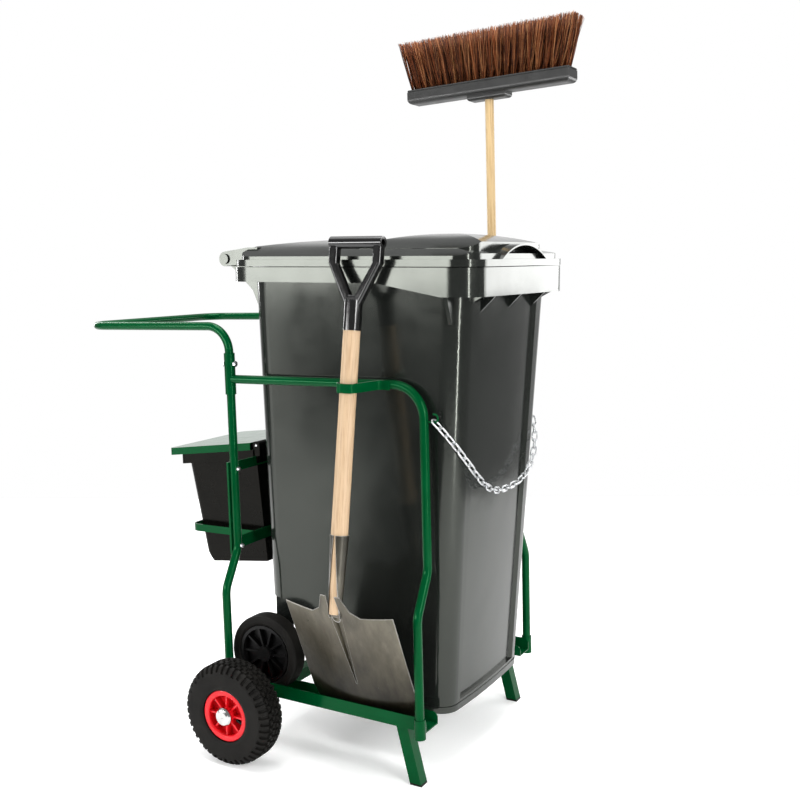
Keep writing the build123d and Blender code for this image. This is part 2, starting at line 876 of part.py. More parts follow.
def front_recess(grow):
    """The shallow panel sunk between the two front corner columns."""
    sections = []
    for z, half in ((bin_base_z + recess_foot - grow, recess_half_low), (bin_top_z, recess_half_high)):
        share = (z - bin_base_z) / (bin_top_z - bin_base_z)
        wall_half = base_half + share * (top_half - base_half)
        bulge = base_bulge + share * (top_bulge - base_bulge)
        crest = base_front_x + share * (top_front_x - base_front_x) + bulge - recess_depth - grow
        inner = half + grow
        edge = crest - bulge * (inner / wall_half) ** 2
        out_x = crest + 2 * recess_depth + grow
        outer = inner + recess_flank * (out_x - edge) / recess_depth
        outline = Curve() + [
            ThreePointArc((edge, -inner), (crest, 0), (edge, inner)),
            Line((edge, inner), (out_x, outer)),
            Line((out_x, outer), (out_x, -outer)),
            Line((out_x, -outer), (edge, -inner)),
        ]
        sections.append(Pos(0, 0, z) * make_face(outline))
    return loft(sections, ruled=True)


def rim_plan(inset, z0, z1):
    centre = Pos((rim_rear_x + rim_front_x) / 2, 0, z0)
    length = rim_front_x - rim_rear_x - 2 * inset
    outline = RectangleRounded(length, 2 * (rim_half - inset), rim_corner - inset)
    return extrude(centre * outline, amount=z1 - z0)


bin_outer = bin_loft(0.0, bin_base_z, bin_top_z)
bin_outer += bin_loft(-base_lip_reach, bin_base_z, bin_base_z + base_lip_height)
bin_outer = bin_outer - wheel_arch(0.0) - front_recess(0.0)
bin_cavity = bin_loft(bin_wall, bin_base_z + bin_wall, bin_top_z + 2)
bin_cavity = bin_cavity - wheel_arch(bin_wall) - front_recess(bin_wall)
rim = rim_plan(0.0, rim_front_z, bin_top_z) - rim_plan(rim_sheet, rim_front_z - 1, bin_top_z - rim_sheet)
rim -= plate_y([
    (rim_rear_x - cut_margin, rim_front_z - cut_margin),
    (rim_rear_x - cut_margin, rim_side_z),
    (rim_ramp_x0, rim_side_z),
    (rim_ramp_x1, rim_front_z),
    (rim_ramp_x1, rim_front_z - cut_margin),
], -rim_half - cut_margin, rim_half + cut_margin)
rib_top = bin_top_z - rim_sheet / 2
rib_out = rim_front_x - rim_sheet / 2


def front_gusset(y, sheet, drop):
    root = top_front_x - gusset_root
    return plate_y([
        (root, rim_front_z - drop),
        (rib_out, rim_front_z + gusset_rise),
        (rib_out, rib_top),
        (root, rib_top),
    ], y - sheet / 2, y + sheet / 2)


for y in front_gusset_y:
    rim += front_gusset(y, gusset_sheet, gusset_drop)
for side in (-1, 1):
    for y in fin_y:
        rim += front_gusset(side * y, fin_sheet, fin_drop)
    wall_y = side * (top_half - corner_rib_root)
    skirt_y = side * (rim_half - rim_sheet / 2)
    rim += plate_x([
        (wall_y, corner_rib_foot_z),
        (side * top_half, corner_rib_foot_z),
        (skirt_y, rim_front_z + gusset_rise),
        (skirt_y, rib_top),
        (wall_y, rib_top),
    ], corner_rib_x - corner_rib_sheet / 2, corner_rib_x + corner_rib_sheet / 2)
for side in (-1, 1):
    y0, y1 = sorted((side * bracket_y0, side * (bracket_y0 + bracket_sheet)))
    rim += plate_y([
        (top_rear_x + bracket_root, bracket_foot_z),
        (top_rear_x - bracket_toe[0], bracket_foot_z + bracket_toe[1]),
        (top_rear_x - bracket_knee[0], bracket_foot_z + bracket_knee[1]),
        (grip_x + bracket_neck[0], grip_z - bracket_neck[1]),
        (grip_x - bracket_chin[0], grip_z - bracket_chin[1]),
        (grip_x + bracket_brow[0], grip_z + bracket_brow[1]),
        (rim_rear_x, bin_top_z - 1),
        (top_rear_x + bracket_root, bin_top_z - 1),
    ], y0, y1)
    rim += rod((grip_x, y0, grip_z), (grip_x, y1, grip_z), 2 * hinge_eye_radius)
rim += rod((grip_x, -bracket_y0 - 1, grip_z), (grip_x, bracket_y0 + 1, grip_z), grip_diameter)
body = bin_outer + rim - bin_cavity
for side in (-1, 1):
    for y in axle_rib_y:
        y0 = side * y - axle_rib_sheet / 2
        rib = box(bin_wheel_x - axle_rib_half, bin_wheel_x + axle_rib_half, y0, y0 + axle_rib_sheet,
                  bin_wheel_z, bin_wheel_z + arch_radius + 1)
        rib += rod((bin_wheel_x, y0, bin_wheel_z), (bin_wheel_x, y0 + axle_rib_sheet, bin_wheel_z),
                   2 * axle_rib_half)
        body += rib
bin_axle_y = bin_axle_end_y
axle_bore = axle_diameter + 2 * fit_gap
body -= rod((bin_wheel_x, -bin_axle_y, bin_wheel_z), (bin_wheel_x, bin_axle_y, bin_wheel_z), axle_bore)
hinge_y0 = bracket_y0 + hinge_pin_inset
hinge_y1 = bracket_y0 + bracket_sheet + 2 * hinge_side_gap + hinge_eye_width
pins = []
for side in (-1, 1):
    start = (grip_x, side * hinge_y0, grip_z)
    end = (grip_x, side * hinge_y1, grip_z)
    body -= rod(start, end, hinge_pin_diameter + 2 * running_gap)
    pin = rod(start, end, hinge_pin_diameter)
    pins.append(pin + rod(end, (grip_x, side * (hinge_y1 + hinge_head_height), grip_z), hinge_pin_head))
write("bin_body", body)
write("bin_hinge_pins", *pins)
write("bin_axle", rod((bin_wheel_x, -bin_axle_y, bin_wheel_z), (bin_wheel_x, bin_axle_y, bin_wheel_z),
                      axle_diameter))


# Bin lid
def crowned(x0, x1, half, corner, floor, rear_z, mid_z, front_z, side_z):
    """A rounded plan raised to a top that is arched along and across. The arches end outside the plan."""
    plan = Pos((x0 + x1) / 2, 0, floor) * RectangleRounded(x1 - x0, 2 * half, corner)
    block = extrude(plan, amount=mid_z + crown_margin - floor)
    rear = x0 - crown_margin
    front = x1 + crown_margin
    side = half + crown_margin
    low = floor - crown_margin
    along = Curve() + [
        Line((rear, -side, low), (rear, -side, rear_z)),
        ThreePointArc((rear, -side, rear_z), ((x0 + x1) / 2, -side, mid_z), (front, -side, front_z)),
        Line((front, -side, front_z), (front, -side, low)),
        Line((front, -side, low), (rear, -side, low)),
    ]
    across = Curve() + [
        Line((rear, -side, low), (rear, -side, side_z)),
        ThreePointArc((rear, -side, side_z), (rear, 0, mid_z), (rear, side, side_z)),
        Line((rear, side, side_z), (rear, side, low)),
        Line((rear, side, low), (rear, -side, low)),
    ]
    block = block & extrude(make_face(along), amount=2 * side, dir=(0, 1, 0))
    return block & extrude(make_face(across), amount=front - rear, dir=(1, 0, 0))


def lid_form(inset):
    rear = bin_lid_rear_x + inset
    front = bin_lid_front_x - inset
    half = bin_lid_half - inset
    low = lid_seat_z - (1.0 if inset else 0.0)
    plan = Pos((rear + front) / 2, 0, low) * RectangleRounded(front - rear, 2 * half, bin_lid_corner - inset)
    skirt_top = lid_seat_z + bin_lid_skirt - inset
    form = extrude(plan, amount=skirt_top - low)
    form += crowned(rear + dome_inset, front - dome_inset, half - dome_inset,
                    bin_lid_corner - dome_inset - inset, low, dome_rear_z - inset, dome_mid_z - inset,
                    dome_front_z - inset, dome_side_z - inset)
    form += crowned(panel_rear_x + inset, panel_front_x - inset, panel_half - inset, panel_corner - inset,
                    low, panel_rear_z - inset, panel_mid_z - inset, panel_front_z - inset,
                    panel_side_z - inset)
    return form


def grip_arch(inset):
    """The arched pull at the lid's front, or the finger room under it."""
    half = lid_grip_half - inset
    low = (lid_grip_rear_x, -half, lid_grip_foot_z)
    high = (lid_grip_rear_x, half, lid_grip_foot_z)
    outline = Curve() + [
        ThreePointArc(low, (lid_grip_rear_x, 0, lid_grip_top_z - inset), high),
        Line(high, low),
    ]
    return extrude(make_face(outline), amount=bin_lid_front_x - lid_grip_rear_x, dir=(1, 0, 0))


lid_outer = lid_form(0.0)
hood = grip_arch(0.0) - grip_arch(bin_lid_wall) - lid_outer
lid_outer += hood
for side in (-1, 1):
    eye_y = bracket_y0 + bracket_sheet + hinge_side_gap
    y0, y1 = sorted((side * eye_y, side * (eye_y + hinge_eye_width)))
    lid_outer += plate_y([
        (grip_x - ear_tail, grip_z + hinge_eye_radius),
        (bin_lid_rear_x + ear_top_x0, dome_rear_z),
        (bin_lid_rear_x + ear_top_x1, dome_rear_z),
        (bin_lid_rear_x + ear_top_x1, lid_seat_z + ear_seat),
        (bin_lid_rear_x, lid_seat_z + ear_seat),
        (grip_x + ear_foot[0], grip_z - hinge_eye_radius + ear_foot[1]),
    ], y0, y1)
    lid_outer += rod((grip_x, y0, grip_z), (grip_x, y1, grip_z), 2 * hinge_eye_radius)
bin_lid = lid_outer - lid_form(bin_lid_wall)
bore = hinge_pin_diameter + 2 * running_gap
bin_lid -= rod((grip_x, -hinge_y1, grip_z), (grip_x, hinge_y1, grip_z), bore)
write("bin_lid", bin_lid)

# Bin wheels
mid_y = (bin_wheel_y0 + bin_wheel_y1) / 2
depth = bin_tyre_radius - bin_tyre_inner
section = Pos((bin_tyre_inner + bin_tyre_radius) / 2, mid_y)
bin_tyre = revolve(section * RectangleRounded(depth, bin_wheel_y1 - bin_wheel_y0, bin_tyre_round), Axis.Y)
hub = ring(bin_rim_inner, bin_tyre_inner, bin_wheel_y0 + bin_rim_setback, bin_wheel_y1 - bin_rim_setback)
hub += ring(0, bin_hub_radius, bin_wheel_y0 + 1, bin_axle_end_y + bin_rim_setback)
hub += ring(bin_hub_radius - 1, bin_rim_inner + 1, mid_y - bin_web / 2, mid_y + bin_web / 2)
for i in range(bin_spoke_count):
    spoke = box(bin_hub_radius - 1, bin_rim_inner + 1, bin_wheel_y0 + bin_spoke_setback,
                bin_wheel_y1 - bin_spoke_setback, -bin_spoke_sheet / 2, bin_spoke_sheet / 2)
    hub += Rot(0, i * 360.0 / bin_spoke_count, 0) * spoke
hub -= ring(0, axle_diameter / 2 + running_gap, bin_wheel_y0 - 1, bin_axle_end_y + bin_axle_end_gap)
for piece, shape in (("tyre", bin_tyre), ("hub", hub)):
    placed = Pos(bin_wheel_x, 0, bin_wheel_z) * shape
    write("left_bin_" + piece, placed)
    write("right_bin_" + piece, flipped(placed))

# Chain hooks: a wire eye, open at its top, in front of each front post
hooks = []
hook_start = front_post_x + tube_diameter / 2 - hook_bite
for side in (-1, 1):
    y = side * upper_post_y
    eye_x = front_post_x + tube_diameter / 2 + hook_reach
    wire = bent_rod([
        (hook_start, y, hook_post_z),
        (eye_x + hook_arch, y, hook_post_z),
        (eye_x + hook_arch, y, hook_post_z + 2 * hook_arch),
        (eye_x - hook_tip, y, hook_post_z + 2 * hook_arch),
    ], [hook_arch - hook_flat, hook_arch - hook_flat], hook_wire)
    foot = rod((front_post_x, y, hook_post_z - tube_diameter), (front_post_x, y, hook_post_z + tube_diameter),
               tube_diameter)
    hooks.append(raked(wire - foot))
write("chain_hooks", *hooks)

# Chain: the sag follows from the number of links between the hooks
hook_x, hook_z = raked_point(front_post_x + tube_diameter / 2 + hook_reach, hook_post_z)
link_pitch = link_inner_length - link_slack
half_chain = half_link_count * link_pitch + link_inner_length / 2 - hook_seat


def chain_point(y, sag):
    share = abs(y) / upper_post_y
    x = chain_front_x + (hook_x - chain_front_x) * share ** chain_corner_power
    return Vector(x, y, hook_z - sag * (1 - share ** chain_sag_power))


def chain_walk(sag):
    """Pairs of distance along the chain and y, from its middle to the left hook."""
    walk = [(0.0, 0.0)]
    last = chain_point(0.0, sag)
    for i in range(1, chain_steps + 1):
        y = upper_post_y * i / chain_steps
        here = chain_point(y, sag)
        walk.append((walk[-1][0] + (here - last).length, y))
        last = here
    return walk


low, high = sag_least, sag_most
while high - low > sag_exact:
    sag = (low + high) / 2
    if chain_walk(sag)[-1][0] < half_chain:
        low = sag
    else:
        high = sag
walk = chain_walk(sag)


def chain_y(distance):
    for (s0, y0), (s1, y1) in zip(walk, walk[1:]):
        if s1 >= abs(distance):
            y = y0 + (y1 - y0) * (abs(distance) - s0) / (s1 - s0)
            return y if distance >= 0 else -y
    return upper_post_y if distance >= 0 else -upper_post_y


end_radius = (link_inner_width + link_wire) / 2
straight = (link_inner_length + link_wire) / 2 - end_radius
bend = revolve(Plane.XZ * (Pos(end_radius, 0) * Circle(link_wire / 2)), Axis.Z, 180)
bend = Pos(0, 0, straight) * Rot(90, 0, 0) * bend
link = bend + mirror(bend, about=Plane.XY)
for x in (-end_radius, end_radius):
    link += rod((x, 0, -straight), (x, 0, straight), link_wire)
links = []
for i in range(-half_link_count, half_link_count + 1):
    y = chain_y(i * link_pitch)
    along = (chain_point(y + 0.5, sag) - chain_point(y - 0.5, sag)).normalized()
    facing = Vector(1, 0, 0) - along * along.X
    facing = facing.normalized()
    if (half_link_count - abs(i)) % 2 == 0:
        width = facing.cross(along)
    else:
        width = facing
    links.append(Plane(chain_point(y, sag), x_dir=width, z_dir=along) * link)
write("chain", *links)

# Shovel: drawn along its own shaft, with the shaft's axis as local z and zero at the handle's socket
lean = radians(shovel_lean)
shovel = Plane((shovel_x, shovel_y, shovel_z), x_dir=(1, 0, 0), z_dir=(0, sin(lean), cos(lean)))


def shaft_end(top, bottom, grow):
    """The shaft's tapering lower end between two distances below its top, grown all round."""
    slope = (shaft_diameter - shaft_tip_diameter) / 2 / (shaft_length - socket_top)
    upper = shaft_diameter / 2 - slope * (top - socket_top) + grow
    lower = shaft_diameter / 2 - slope * (bottom - socket_top) + grow
    return Pos(0, 0, -(top + bottom) / 2) * Cone(lower, upper, bottom - top)


shaft = rod((0, 0, -socket_top), (0, 0, 0), shaft_diameter) + shaft_end(socket_top, shaft_length, 0.0)
shaft += rod((0, 0, -1), (0, 0, shaft_neck_length), shaft_neck_diameter)
write("shovel_shaft", shovel * shaft)
half = grip_sheet / 2
neck = grip_socket_diameter / 2 - 1
handle = plate_y([
    (-neck, grip_root_z),
    (-neck, grip_fork_z),
    (-grip_outer_half, grip_shoulder_z),
    (-grip_outer_half, grip_bar_z),
    (grip_outer_half, grip_bar_z),
    (grip_outer_half, grip_shoulder_z),
    (neck, grip_fork_z),
    (neck, grip_root_z),
], -half, half)
handle -= plate_y([
    (-grip_inner_half, grip_bar_z + 1),
    (-grip_inner_half, grip_shoulder_z),
    (-grip_crotch_half, grip_crotch_z),
    (grip_crotch_half, grip_crotch_z),
    (grip_inner_half, grip_shoulder_z),
    (grip_inner_half, grip_bar_z + 1),
], -half - 1, half + 1)
faces = handle.faces().filter_by(Axis.Y)
arms = [e for e in faces.edges() if grip_root_z < e.center().Z < grip_bar_z]
handle = fillet(arms, grip_edge)
handle += rod((-grip_outer_half, 0, grip_bar_z), (grip_outer_half, 0, grip_bar_z), grip_bar_diameter)
handle += rod((0, 0, 0), (0, 0, grip_socket_length), grip_socket_diameter)
handle -= rod((0, 0, -1), (0, 0, shaft_neck_length + 1), shaft_neck_diameter + 2 * fit_gap)
handle -= rod((-grip_outer_half - 1, 0, grip_bar_z), (grip_outer_half + 1, 0, grip_bar_z), grip_bar_bore)
write("shovel_grip", shovel * handle)

# Shovel blade: dished sheet, open socket and the valley below it
blade_length = ((blade_tip_y - blade_top_y) ** 2 + (blade_top_z - blade_tip_z) ** 2) ** 0.5
rise = Vector(0, blade_top_y - blade_tip_y, blade_top_z - blade_tip_z)
blade_plane = Plane((shovel_x, blade_top_y, blade_top_z), x_dir=(1, 0, 0), z_dir=rise)
reach = blade_half + blade_toe_inset
dish = blade_dish
sheet = make_face(Curve() + [
    ThreePointArc((-reach, dish, -blade_length), (0, 0, -blade_length), (reach, dish, -blade_length)),
    Line((reach, dish, -blade_length), (reach, dish + blade_sheet, -blade_length)),
    ThreePointArc((reach, dish + blade_sheet, -blade_length), (0, blade_sheet, -blade_length),
                  (-reach, dish + blade_sheet, -blade_length)),
    Line((-reach, dish + blade_sheet, -blade_length), (-reach, dish, -blade_length)),
])
sheet = extrude(sheet, amount=blade_length + blade_flare, dir=(0, 0, 1))
outline = plate_y([
    (-blade_half, 0.0),
    (-blade_notch_half, blade_notch_z),
    (-blade_step_half, blade_step_z),
    (-blade_flare_half, blade_flare),
    (blade_flare_half, blade_flare),
    (blade_step_half, blade_step_z),
    (blade_notch_half, blade_notch_z),
    (blade_half, 0.0),
    (blade_half + blade_swell, -blade_length + blade_swell_z),
    (blade_half - blade_toe_inset, -blade_length),
    (-blade_half + blade_toe_inset, -blade_length),
    (-blade_half - blade_swell, -blade_length + blade_swell_z),
], -blade_dish, 2 * blade_dish)
blade = blade_plane * (sheet & outline)
socket_outer = shaft_diameter / 2 + fit_gap + socket_wall
slit = make_face(Polyline([
    (-slit_top / 2, -2 * socket_outer, -socket_top + 1),
    (slit_top / 2, -2 * socket_outer, -socket_top + 1),
    (slit_bottom / 2, -2 * socket_outer, -socket_bottom - 1),
    (-slit_bottom / 2, -2 * socket_outer, -socket_bottom - 1),
], close=True))
slit = shovel * extrude(slit, amount=2 * socket_outer, dir=(0, 1, 0))
socket = shaft_end(socket_top, socket_bottom, fit_gap + socket_wall)
socket -= shaft_end(socket_top - 1, socket_bottom + 1, fit_gap)
socket = shovel * socket - slit
behind = blade_plane * box(-blade_half, blade_half, -blade_half, 0, -blade_length, -socket_foot)
socket -= behind
bore = shovel * shaft_end(socket_top - 1, shaft_length + 3, fit_gap)


def valley_wedge(low_y, grow):
    """A tapering trough that runs down the blade from the socket to a point."""
    faces = []
    for share, z in ((1.0, -valley_start), (valley_point, -valley_length)):
        half = valley_half * share + grow
        deep = valley_depth * share + grow
        flat = half * valley_flat
        corners = [(-half, low_y, z), (-flat, deep, z), (flat, deep, z), (half, low_y, z)]
        faces.append(make_face(Polyline(corners, close=True)))
    return loft(faces, ruled=True)


ridge = blade_plane * valley_wedge(blade_sheet * ridge_root, blade_sheet)
groove = blade_plane * valley_wedge(-valley_clear, 0.0)
blade = (blade - bore - slit - groove) + (ridge - groove - bore) + socket
write("shovel_blade", blade)

# Straps on the hoops
band_z = raked_point(shovel_band_root_x, hoop_z)[1]


def band(side, way, root_x, x, y, radius):
    """A flat strap from the hoop round the outside of a shaft at x and y, ending in a short lip."""
    root_y = side * (upper_post_y + tube_diameter / 2 + band_sheet / 2 - 1)
    out_y = y + side * radius
    points = [
        (root_x + way * band_root_length, root_y, band_z),
        (root_x, root_y, band_z),
        (x + way * band_lead * radius, out_y, band_z),
        (x - way * radius, out_y, band_z),
        (x - way * radius, y - side * band_lip, band_z),
    ]
    path = FilletPolyline(*points, radius=[share * radius for share in band_bends])
    section = Plane(path @ 0, x_dir=(0, 1, 0), z_dir=path % 0) * Rectangle(band_sheet, band_height)
    strap = sweep(section, path=path)
    tube = rod((0, side * upper_post_y, hoop_z), (front_post_x, side * upper_post_y, hoop_z), tube_diameter)
    return strap - raked(tube)


shaft_y = shovel_y - (shovel_z - band_z) * tan(lean)
shaft_room = shaft_diameter / 2 / cos(lean) + band_height / 2 * tan(lean)
shaft_turn = shaft_room + band_gap + band_sheet / 2
write("shovel_strap", band(-1, 1, shovel_band_root_x, shovel_x, shaft_y, shaft_turn))

# Broom: drawn along its stick, with zero at the foot
out = tan(radians(broom_lean_out))
back = tan(radians(broom_lean_back))
stick_rise = Vector(-back, out, 1).normalized()
across = Vector(cos(radians(broom_turn)), -sin(radians(broom_turn)), 0)
across = across - stick_rise * across.dot(stick_rise)
broom = Plane((broom_x, stick_foot_y, stick_foot_z), x_dir=across, z_dir=stick_rise)
tilt = atan(hypot(out, back))
stick_x = broom_x - (band_z - stick_foot_z) * back
stick_y = stick_foot_y + (band_z - stick_foot_z) * out
stick_length = block_base + stick_grip
stick_room = stick_diameter / 2 / cos(tilt) + band_height / 2 * tan(tilt)
stick_turn = stick_room + band_gap + band_sheet / 2
write("broom_strap", band(1, -1, stick_x - broom_band_root, stick_x, stick_y, stick_turn))
write("broom_stick", broom * rod((0, 0, 0), (0, 0, stick_length), stick_diameter))
block_top = block_base + block_height - bristle_slice
half = block_width / 2
block = box(-block_half, block_half, -half, half, block_base, block_top)
block = fillet(block.edges().group_by(Axis.Z)[0], block_round)
hump_y = half - hump_inset
hump = box(-hump_half, hump_half, -hump_y, hump_y, block_base - hump_drop, block_base + hump_inset)
block += fillet(hump.edges().group_by(Axis.Z)[0], hump_round)
stick_bore = stick_diameter + 2 * fit_gap
block -= rod((0, 0, block_base - hump_drop - 1), (0, 0, stick_length + stick_end_gap), stick_bore)
write("broom_block", broom * block)
backing = box(-block_half, block_half, -half, half, block_top, block_top + bristle_slice)
strands = []
root_z = block_top + bristle_slice - 1.0
for row in range(bristle_rows):
    for column in range(bristle_columns):
        y = (row - (bristle_rows - 1) / 2) * bristle_row_pitch
        x = bristle_half * (2.0 * column / (bristle_columns - 1) - 1.0)
        tip_x = x + bristle_flare_x * x / bristle_half
        tip_y = y + bristle_flare_y * y / (bristle_row_pitch * (bristle_rows - 1) / 2)
        drop = (bristle_column_step * column + bristle_row_step * row) % bristle_steps
        tip_z = root_z + bristle_length - bristle_step * drop
        root = Pos(x, y, root_z) * RegularPolygon(bristle_root, 3)
        tip = Pos(tip_x, tip_y, tip_z) * RegularPolygon(bristle_root * bristle_taper, 3)
        strands.append(loft([root, tip], ruled=True))
write("broom_bristles", broom * backing.fuse(*strands))
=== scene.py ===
import random
from math import asin, cos, pi, radians, sin, sqrt, tan

import bmesh
import bpy
from mathutils import Matrix, Vector


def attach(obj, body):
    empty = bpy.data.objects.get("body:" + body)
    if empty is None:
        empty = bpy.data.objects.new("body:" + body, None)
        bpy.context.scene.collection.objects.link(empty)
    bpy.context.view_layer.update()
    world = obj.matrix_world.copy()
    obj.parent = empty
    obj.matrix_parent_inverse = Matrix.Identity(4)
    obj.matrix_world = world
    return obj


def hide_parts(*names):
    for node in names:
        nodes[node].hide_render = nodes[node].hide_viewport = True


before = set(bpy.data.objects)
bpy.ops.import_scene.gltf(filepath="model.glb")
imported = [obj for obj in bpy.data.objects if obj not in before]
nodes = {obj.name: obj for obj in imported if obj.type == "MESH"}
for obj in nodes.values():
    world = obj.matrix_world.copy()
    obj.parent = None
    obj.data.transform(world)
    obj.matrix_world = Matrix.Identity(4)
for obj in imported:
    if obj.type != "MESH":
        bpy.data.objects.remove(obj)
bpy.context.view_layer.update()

# Sizes are in metres, in the same frame as the solids
AXLE_X = -0.00660
AXLE_Z = 0.130
WHEEL_Y = 0.403

# Pneumatic tyre's section, with the rim that it sits on
TYRE_RADIUS = 0.130
TYRE_HALF_WIDTH = 0.0425
TYRE_SEAT = 0.0582
TYRE_SHOULDER = 0.026
TYRE_BEAD = 0.018
TYRE_BEAD_SEAT = 0.058
RIM_LIP_RADIUS = 0.0663
RIM_LIP_BACK = 0.0265
BEAD_STEPS = 12
WALL_STEPS = 4
SHOULDER_STEPS = 24
CROWN_STEPS = 8

# Tread: lengths round the tyre are shares of a pitch, widths are shares of the tyre's half width
TREAD_DEPTH = 0.0052
TREAD_PITCHES = 44
TREAD_STEPS = 9
TREAD_WAVE = 0.03
TREAD_STAGGER = 0.25
TREAD_ROW_SHIFT = 0.5
TREAD_GROOVES = ((-1.0, 0.045), (0.27, 0.32), (0.54, 0.59))
SHOULDER_GAP = 0.40
CROWN_GAP = 0.28
# The tread ends where the outward direction's radius part falls to this, on even and odd pitches
TREAD_ENDS = (0.36, 0.22)

SHOVEL_LEAN = radians(7.55)

# Broom: places along its stick are measured from its foot
BROOM_FOOT = Vector((0.417 + AXLE_X, 0.285, 0.149))
BROOM_LEAN_OUT = radians(2.2)
BROOM_LEAN_BACK = radians(2.65)
BROOM_TURN = radians(3.5)
BACKING_PLACE = 1.591
BACKING_SIZE = (0.5, 0.056, 0.006)
BACKING_EDGE = 0.0018
BACKING_EDGE_STEPS = 3
BRISTLE_SEED = 11
BRISTLE_ROOT = 1.593
BRISTLE_LENGTH = 0.1355
BRISTLE_HALF = 0.236
BRISTLE_ROW_HALF = 0.018
BRISTLE_FLARE_X = 0.035
BRISTLE_FLARE_Y = 0.0102
TUFT_ROWS = 5
TUFT_COLUMNS = 21
TUFT_ROW_STAGGER = 0.5
TUFT_RADIUS = 0.0036
TUFT_SPREAD = 3.2
TIP_LIMIT = 0.2685
STRANDS_PER_TUFT = 54
STRAND_RADIUS = 0.0007
STRAND_SIDES = 3
STRAND_LEVELS = 4
STRAND_TAPER = 0.35
STRAND_STRAY_X = 0.006
STRAND_STRAY_Y = 0.002
STRAND_SHORTFALL = 0.0045
STRAND_BOW = 0.0022

# Camera found from the photograph
CAMERA_PLACE = Vector((1.6303 + AXLE_X, -2.4327, 1.2602))
CAMERA_YAW = 0.5149
CAMERA_PITCH = -0.1333
CAMERA_ROLL = -0.0035
CAMERA_LENS = 48.35
CAMERA_SENSOR = 36.0

# Places of a mix node's colour sockets
MIX_FIRST = 6
MIX_SECOND = 7
MIX_RESULT = 2

# Materials: a stretch below one draws a pattern out along that axis
WHITE = (1.0, 1.0, 1.0)
COAT_ROUGHNESS = 0.12
WOOD_STRETCH = (1.0, 1.0, 0.045)
WOOD_BRIGHTEST = 1.08
STREAK_STRETCH = (1.0, 0.35, 0.35)
SCUFF_STRETCH = (1.0, 1.0, 0.2)
WORN_STEEL = (0.42, 0.41, 0.39)

# Tones up the shovel's blade, darker at its foot, pale in a band higher up and darker again near the
# top: the heights that they span, and how far noise pushes them about
BLADE_TONE_HEIGHTS = (0.245, 0.745)
BLADE_TONE_RAGGED = 0.25

# White floor sheet: its corners are places to the right of the cart and beyond it, from the camera
FLOOR_CORNERS = ((-3.4, -3.6), (2.5, -3.6), (2.5, 2.6), (-3.4, 2.6))
FLOOR_CLOUD = 1.5
FLOOR_DARK = (0.90, 0.90, 0.90)
FLOOR_LIGHT = (0.93, 0.93, 0.93)
FLOOR_ROUGHNESS = 0.9
FLOOR_GLOW = 0.28
# Floor that is dark for all but the camera: left of SHADE_SIDE, on the near side of a slanting line
FLOOR_SHADE = (0.012, 0.012, 0.012)
SHADE_SIDE = (-0.9, -0.6)
SHADE_SLANT = (0.526, -0.850)
SHADE_LINE = (0.14, 0.26)

# Studio that lights the cart and is reflected: grey, white low behind it, brighter over its far side
STUDIO_GREY = (0.28, 0.28, 0.28)
BACKDROP_AHEAD = (0.66, 0.83)
BACKDROP_TOP = (0.24, 0.36)
OVERHEAD_WHITE = (2.6, 2.6, 2.6)
OVERHEAD_FROM = (0.55, 0.85)
OVERHEAD_AHEAD = (-0.12, 0.3)

# Area lights: name, place, point that it faces, width and height, watts
LIGHTS = (
    ("left_box", (-1.35, -2.95, 1.28), (0.25, -0.29, 1.28), (2.2, 0.6), 62.0),
    ("left_card", (-2.25, -2.55, 0.55), (0.0, -0.29, 0.7), (1.1, 1.1), 7.5),
    ("right_box", (2.05, 2.75, 1.38), (0.6, 0.0, 1.38), (1.8, 0.7), 28.0),
    ("front_box", (3.4, -0.9, 2.2), (0.3, 0.0, 0.7), (1.4, 1.6), 55.0),
    ("corner_strip", (2.75, -1.35, 0.95), (0.5, -0.25, 0.9), (0.14, 1.7), 26.0),
    ("rear_strip", (-2.3, 0.4, 1.9), (0.0, 0.0, 0.8), (0.16, 2.0), 24.0),
    ("top_box", (0.2, -0.4, 3.8), (0.1, 0.0, 0.9), (2.4, 2.0), 125.0),
)

# Directions of the shovel's shaft, of the broom, and of the camera's view over the floor
shovel_along = Vector((0.0, sin(SHOVEL_LEAN), cos(SHOVEL_LEAN)))
broom_along = Vector((-tan(BROOM_LEAN_BACK), tan(BROOM_LEAN_OUT), 1.0)).normalized()
broom_level = Vector((cos(BROOM_TURN), -sin(BROOM_TURN), 0.0))
broom_across = (broom_level - broom_along * broom_level.dot(broom_along)).normalized()
broom_aside = broom_along.cross(broom_across)
ahead = Vector((-sin(CAMERA_YAW), cos(CAMERA_YAW), 0.0))
aside = Vector((cos(CAMERA_YAW), sin(CAMERA_YAW), 0.0))


# Shader nodes
def new_material(name):
    material = bpy.data.materials.new(name)
    material.use_nodes = True
    tree = material.node_tree
    return material, tree, tree.nodes["Principled BSDF"]


def fill(tree, node, inputs):
    """Link a node's inputs to sockets, or set them to plain values; a colour has three parts."""
    for key, value in inputs.items():
        target = node.inputs[key]
        if isinstance(value, bpy.types.NodeSocket):
            tree.links.new(value, target)
        elif target.type == "RGBA":
            target.default_value = (*value, 1.0)
        else:
            target.default_value = value


def add(tree, kind, inputs=None, **settings):
    node = tree.nodes.new(kind)
    for key, value in settings.items():
        setattr(node, key, value)
    fill(tree, node, inputs or {})
    return node


def object_place(tree):
    return add(tree, "ShaderNodeTexCoord").outputs["Object"]


def coordinates(tree, scale=(1.0, 1.0, 1.0)):
    """Object coordinates in metres, stretched by scale."""
    node = add(tree, "ShaderNodeMapping", {"Vector": object_place(tree), "Scale": scale})
    return node.outputs["Vector"]


def noise(tree, vector, scale, detail=4.0, roughness=0.5):
    inputs = {"Vector": vector, "Scale": scale, "Detail": detail, "Roughness": roughness}
    return add(tree, "ShaderNodeTexNoise", inputs).outputs["Fac"]


